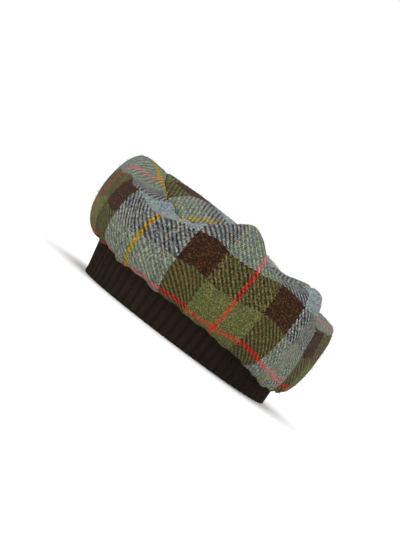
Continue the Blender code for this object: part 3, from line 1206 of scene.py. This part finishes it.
class BERET_OT_knit_band(bpy.types.Operator):
    """Makes the ribbed band and its stitches"""

    bl_idname = "beret.knit_band"
    bl_label = "Knit Band"

    def execute(self, context):
        knit = context.scene.beret.knit
        centre = hat_centre()
        places, cloth = band_places(centre)
        band = walled(sewn_sheet("band_knit", places, cloth), BAND_WALL)
        wool = knit_material(knit, centre)
        finish_piece(band, wool)
        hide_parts("knit_band")
        grid = stitch_grid(centre, knit)
        width = 2 * math.pi * math.sqrt((BAND_HALF_WIDTH**2 + BAND_HALF_DEPTH**2) / 2)
        values = {
            "Stitch Width": width / (RIB_COUNT * STITCHES_PER_RIB),
            "Stitch Height": knit.stitch_height,
            "Yarn Width": knit.yarn_width,
            "Purl Depth": KNIT_GROOVE,
            "Wool": wool,
        }
        knitted, purled = (
            grown(kind, grid, stitches_tree(kind), values) for kind in STITCH_KINDS
        )
        strays = fuzz("stray_fibres", grid, knit.stray_density, knit.stray_length)
        lay_on_floor(strays)
        bpy.data.objects.remove(grid)
        for piece in (knitted, purled):
            finish_piece(piece, wool)
        finish_piece(strays, stray_material(knit.stray_colour))
        return {"FINISHED"}


class BERET_OT_crown(bpy.types.Operator):
    """Makes the crown's side and top from checked tweed"""

    bl_idname = "beret.crown"
    bl_label = "Crown"

    def execute(self, context):
        cloth = context.scene.beret.cloth
        crown = Crown()
        self.make_side(crown, cloth)
        self.make_top(crown, cloth)
        return {"FINISHED"}

    def finished(self, sheet, fuzz_name, cloth, starts, ending=""):
        """The sheet with its wall, and its fuzz, both in tweed."""
        fibres = fuzz(fuzz_name, sheet, cloth.fuzz_density, cloth.fuzz_length)
        sheet = walled(sheet, CLOTH_WALL)
        tweed = tweed_material("checked_tweed" + ending, cloth, starts)
        finish_piece(sheet, tweed)
        loose = tweed_material("tweed_fibres" + ending, cloth, starts, raised_threads=False)
        finish_piece(fibres, loose)
        return sheet, fibres

    def make_side(self, crown, cloth):
        """The strip from the band to the top seam."""
        round_length, *starts = cloth_starts(crown, cloth)

        def side_lines(lengths):
            return np.linspace(0.0, strip_width(lengths) - SEAM_GAP / 2, SIDE_LINES)

        places, lines = crown.grid(side_lines)
        back, up = check_shifts(crown.bearings)
        round_places = np.broadcast_to(crown.round_shares * round_length + back, lines.shape)
        flat = np.stack([round_places, lines - up], axis=2)
        side = sewn_sheet("crown_side_cloth", raised(places, lines, crown), flat)
        side, fibres = self.finished(side, "side_fuzz", cloth, starts)
        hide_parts("crown_side")
        widest = float(crown.widths.max())
        share = float(crown.widths[:-1].mean()) / widest
        round_length * widest * share

    def make_top(self, crown, cloth):
        """The disc that closes the crown."""

        def top_lines(lengths):
            share = np.linspace(0.0, 1.0, TOP_LINES) ** TOP_CLOSENESS
            start = strip_width(lengths) + SEAM_GAP / 2
            return start + share * (lengths[-1] - start)

        places, lines = crown.grid(top_lines)
        ends = np.array([lengths[-1] for lengths in crown.lengths])
        from_middle = ends[None, :] - lines
        flat = np.stack(
            [from_middle * np.sin(crown.angles), -from_middle * np.cos(crown.angles)], axis=2
        )
        top = sewn_sheet("crown_top_cloth", raised(places, lines, crown), flat)
        starts = (TOP_COLUMN, TOP_ROW)
        top, fibres = self.finished(top, "top_fuzz", cloth, starts, "_top")
        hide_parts("crown_top")
        radii = from_middle[0]
        area = float(0.5 * np.sum(radii[:-1] * radii[1:] * np.sin(np.diff(crown.angles))))


def direction(azimuth, elevation):
    """The way from the hat to a lamp or camera, with angles in radians."""
    level = math.cos(elevation)
    return Vector((math.sin(azimuth) * level, -math.cos(azimuth) * level, math.sin(elevation)))


class BERET_OT_stage(bpy.types.Operator):
    """Sets up the floor, the light and the camera"""

    bl_idname = "beret.stage"
    bl_label = "Stage"

    def execute(self, context):
        studio = context.scene.beret.studio
        self.make_floor()
        self.make_light(context, studio)
        self.make_camera(context, studio)
        return {"FINISHED"}

    def make_floor(self):
        sheet = bmesh.new()
        bmesh.ops.create_grid(sheet, x_segments=1, y_segments=1, size=FLOOR_REACH)
        floor = placed_mesh("pale_floor", sheet)
        floor.data.materials.append(new_finish("pale_floor", FLOOR_FINISH)[0])

    def make_light(self, context, studio):
        world = bpy.data.worlds.new("studio")
        context.scene.world = world
        world.use_nodes = True
        sky = world.node_tree.nodes["Background"]
        sky.inputs["Color"].default_value = (1.0, 1.0, 1.0, 1.0)
        sky.inputs["Strength"].default_value = studio.daylight
        context.scene.view_settings.view_transform = "Standard"
        for row in named_rows(LAMP_COLUMNS, LAMP_ROWS):
            lamp = bpy.data.lights.new(row["name"], "AREA")
            lamp.energy = row["power"]
            lamp.shape = "DISK"
            lamp.size = row["size"]
            holder = placed(row["name"], lamp)
            way = direction(math.radians(row["azimuth"]), math.radians(row["elevation"]))
            holder.location = way * row["distance"]
            holder.rotation_euler = way.to_track_quat("Z", "Y").to_euler()

    def make_camera(self, context, studio):
        low, high = (Vector(corner) for corner in CAD_BOX)
        middle = (low + high) / 2
        back = direction(studio.azimuth, studio.elevation)
        upright = back.to_track_quat("Z", "Y").to_matrix()
        turned = upright @ Matrix.Rotation(studio.roll, 3, "Z")
        right, up = turned.col[0], turned.col[1]
        aside = (HAT_PIXEL[0] - PICTURE_WIDTH / 2) / studio.pixels_per_metre
        below = (HAT_PIXEL[1] - PICTURE_HEIGHT / 2) / studio.pixels_per_metre
        aim = middle - right * aside + up * below
        lens = bpy.data.cameras.new("camera")
        lens.sensor_fit = "VERTICAL"
        lens.sensor_height = SENSOR_HEIGHT
        lens.lens = lens.sensor_height * studio.distance * studio.pixels_per_metre / PICTURE_HEIGHT
        camera = placed("camera", lens)
        camera.location = aim + back * studio.distance
        camera.rotation_euler = turned.to_euler()
        context.scene.camera = camera


class BERET_PT_panel(bpy.types.Panel):
    """Lists the beret's pieces in the sidebar"""

    bl_label = "Beret"
    bl_idname = "BERET_PT_panel"
    bl_space_type = "VIEW_3D"
    bl_region_type = "UI"
    bl_category = "Beret"

    def draw(self, context):
        settings = context.scene.beret
        for label, group, operator in (
            ("Band", settings.knit, "beret.knit_band"),
            ("Crown", settings.cloth, "beret.crown"),
            ("Studio", settings.studio, "beret.stage"),
        ):
            box = self.layout.box()
            box.label(text=label)
            for name in group.__annotations__:
                box.prop(group, name)
            box.operator(operator)


CLASSES = (
    BeretCloth,
    BeretKnit,
    BeretStudio,
    BeretSettings,
    BERET_OT_knit_band,
    BERET_OT_crown,
    BERET_OT_stage,
    BERET_PT_panel,
)


def register():
    for cls in CLASSES:
        bpy.utils.register_class(cls)
    bpy.types.Scene.beret = bpy.props.PointerProperty(type=BeretSettings)


def unregister():
    del bpy.types.Scene.beret
    for cls in reversed(CLASSES):
        bpy.utils.unregister_class(cls)


def main():
    register()
    bpy.ops.beret.crown()
    bpy.ops.beret.knit_band()
    bpy.ops.beret.stage()


if __name__ == "__main__":
    main()
